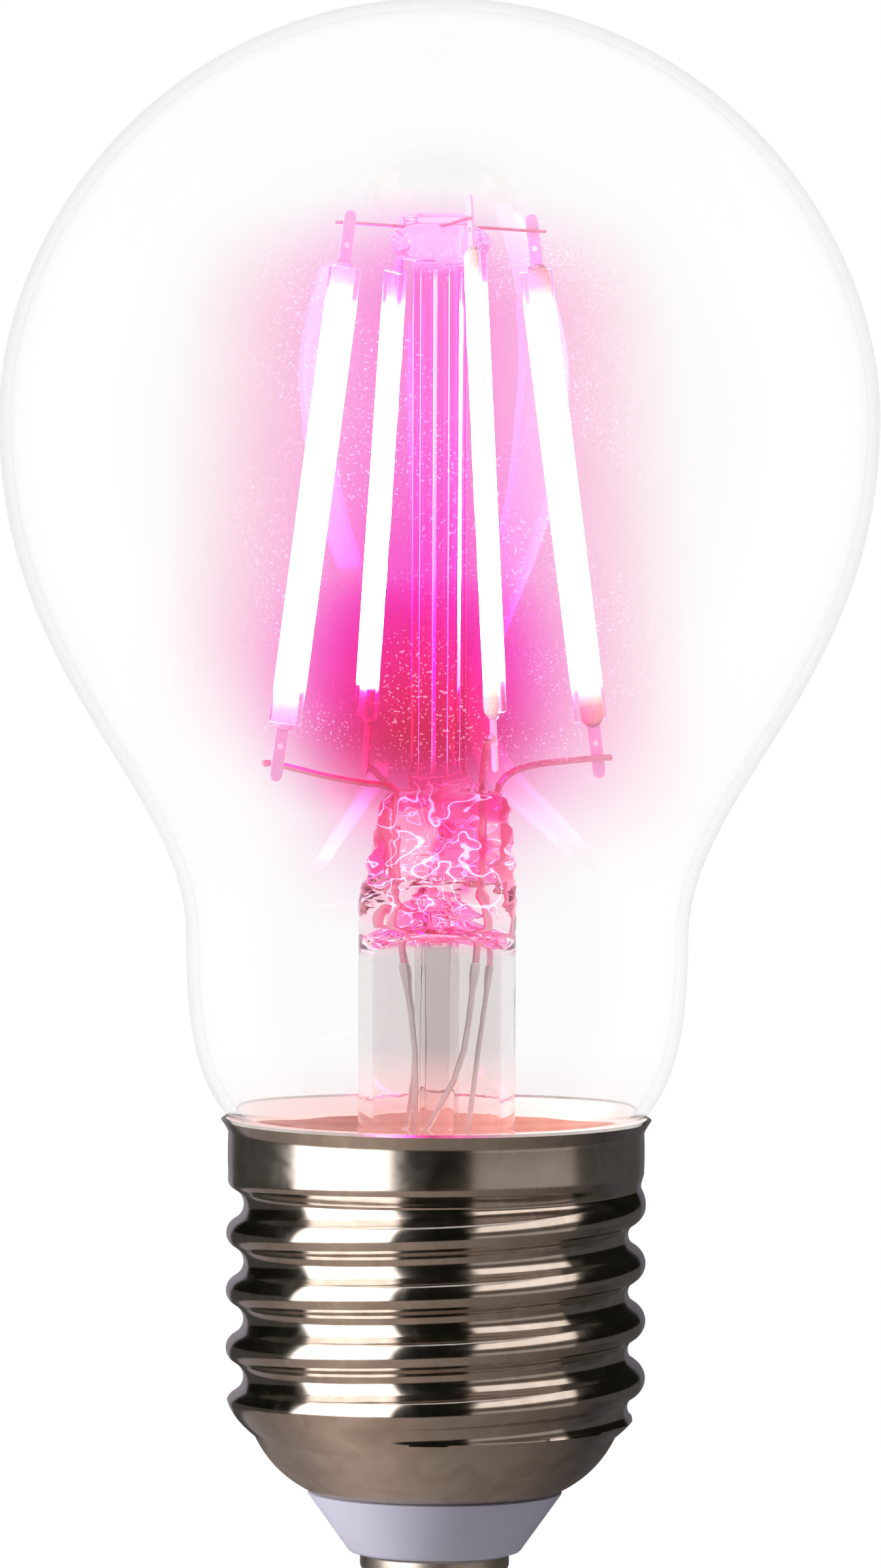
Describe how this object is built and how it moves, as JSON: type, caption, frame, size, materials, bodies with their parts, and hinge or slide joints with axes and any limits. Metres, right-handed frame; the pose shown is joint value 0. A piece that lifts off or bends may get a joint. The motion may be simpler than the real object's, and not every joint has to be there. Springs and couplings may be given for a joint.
{
  "type": "grow light bulb",
  "caption": "Clear pear-shaped light bulb with upright pink-lit filament strips round a glass stem, on a nickel screw cap with a centre contact.",
  "frame": {"origin": "middle of the flat face of the centre contact, on the axis of the screw cap, where a lampholder's own contact meets it", "axes": "+Z along the axis from the cap towards the dome of the glass, +X to the right as the bulb is seen from the front, and the front looks along -Y"},
  "size_m": [0.0552, 0.0552, 0.0988],
  "materials": {
    "clear_glass": "clear blown soda glass",
    "pink_phosphor": "soft phosphor coat, lit",
    "strip_ceramic": "translucent carrier",
    "plated_steel": "plated strip",
    "nickel_wire": "bare nickel wire",
    "copper_wire": "bare copper wire",
    "nickel_shell": "nickel plate, lightly brushed",
    "pale_plastic": "moulded insulator",
    "grey_cement": "baked cement",
    "board_laminate": "glass-fibre board",
    "black_moulding": "moulded electronic parts",
    "resistor_enamel": "enamel"
  },
  "bodies": {
    "root": {"glass_envelope": "clear_glass", "stem_flare": "clear_glass", "exhaust_tube": "clear_glass", "stem_column": "clear_glass", "filament_strip_1": "strip_ceramic", "filament_gel_1": "pink_phosphor", "filament_tab_top_1": "plated_steel", "filament_tab_bottom_1": "plated_steel", "lead_inner_1": "nickel_wire", "lead_outer_1": "copper_wire", "filament_strip_2": "strip_ceramic", "filament_gel_2": "pink_phosphor", "filament_tab_top_2": "plated_steel", "filament_tab_bottom_2": "plated_steel", "lead_inner_2": "nickel_wire", "lead_outer_2": "copper_wire", "filament_strip_3": "strip_ceramic", "filament_gel_3": "pink_phosphor", "filament_tab_top_3": "plated_steel", "filament_tab_bottom_3": "plated_steel", "lead_inner_3": "nickel_wire", "lead_outer_3": "copper_wire", "filament_strip_4": "strip_ceramic", "filament_gel_4": "pink_phosphor", "filament_tab_top_4": "plated_steel", "filament_tab_bottom_4": "plated_steel", "lead_inner_4": "nickel_wire", "lead_outer_4": "copper_wire", "support_wire_left": "nickel_wire", "support_wire_right": "nickel_wire", "base_shell": "nickel_shell", "cap_insulator": "pale_plastic", "centre_contact": "nickel_shell", "base_cement": "grey_cement", "driver_board": "board_laminate", "bridge_rectifier": "black_moulding", "driver_chip": "black_moulding", "bulk_capacitor": "black_moulding", "fusible_resistor": "resistor_enamel", "resistor_lead": "nickel_wire", "contact_lead": "nickel_wire", "shell_lead": "nickel_wire"}
  },
  "joints": []
}
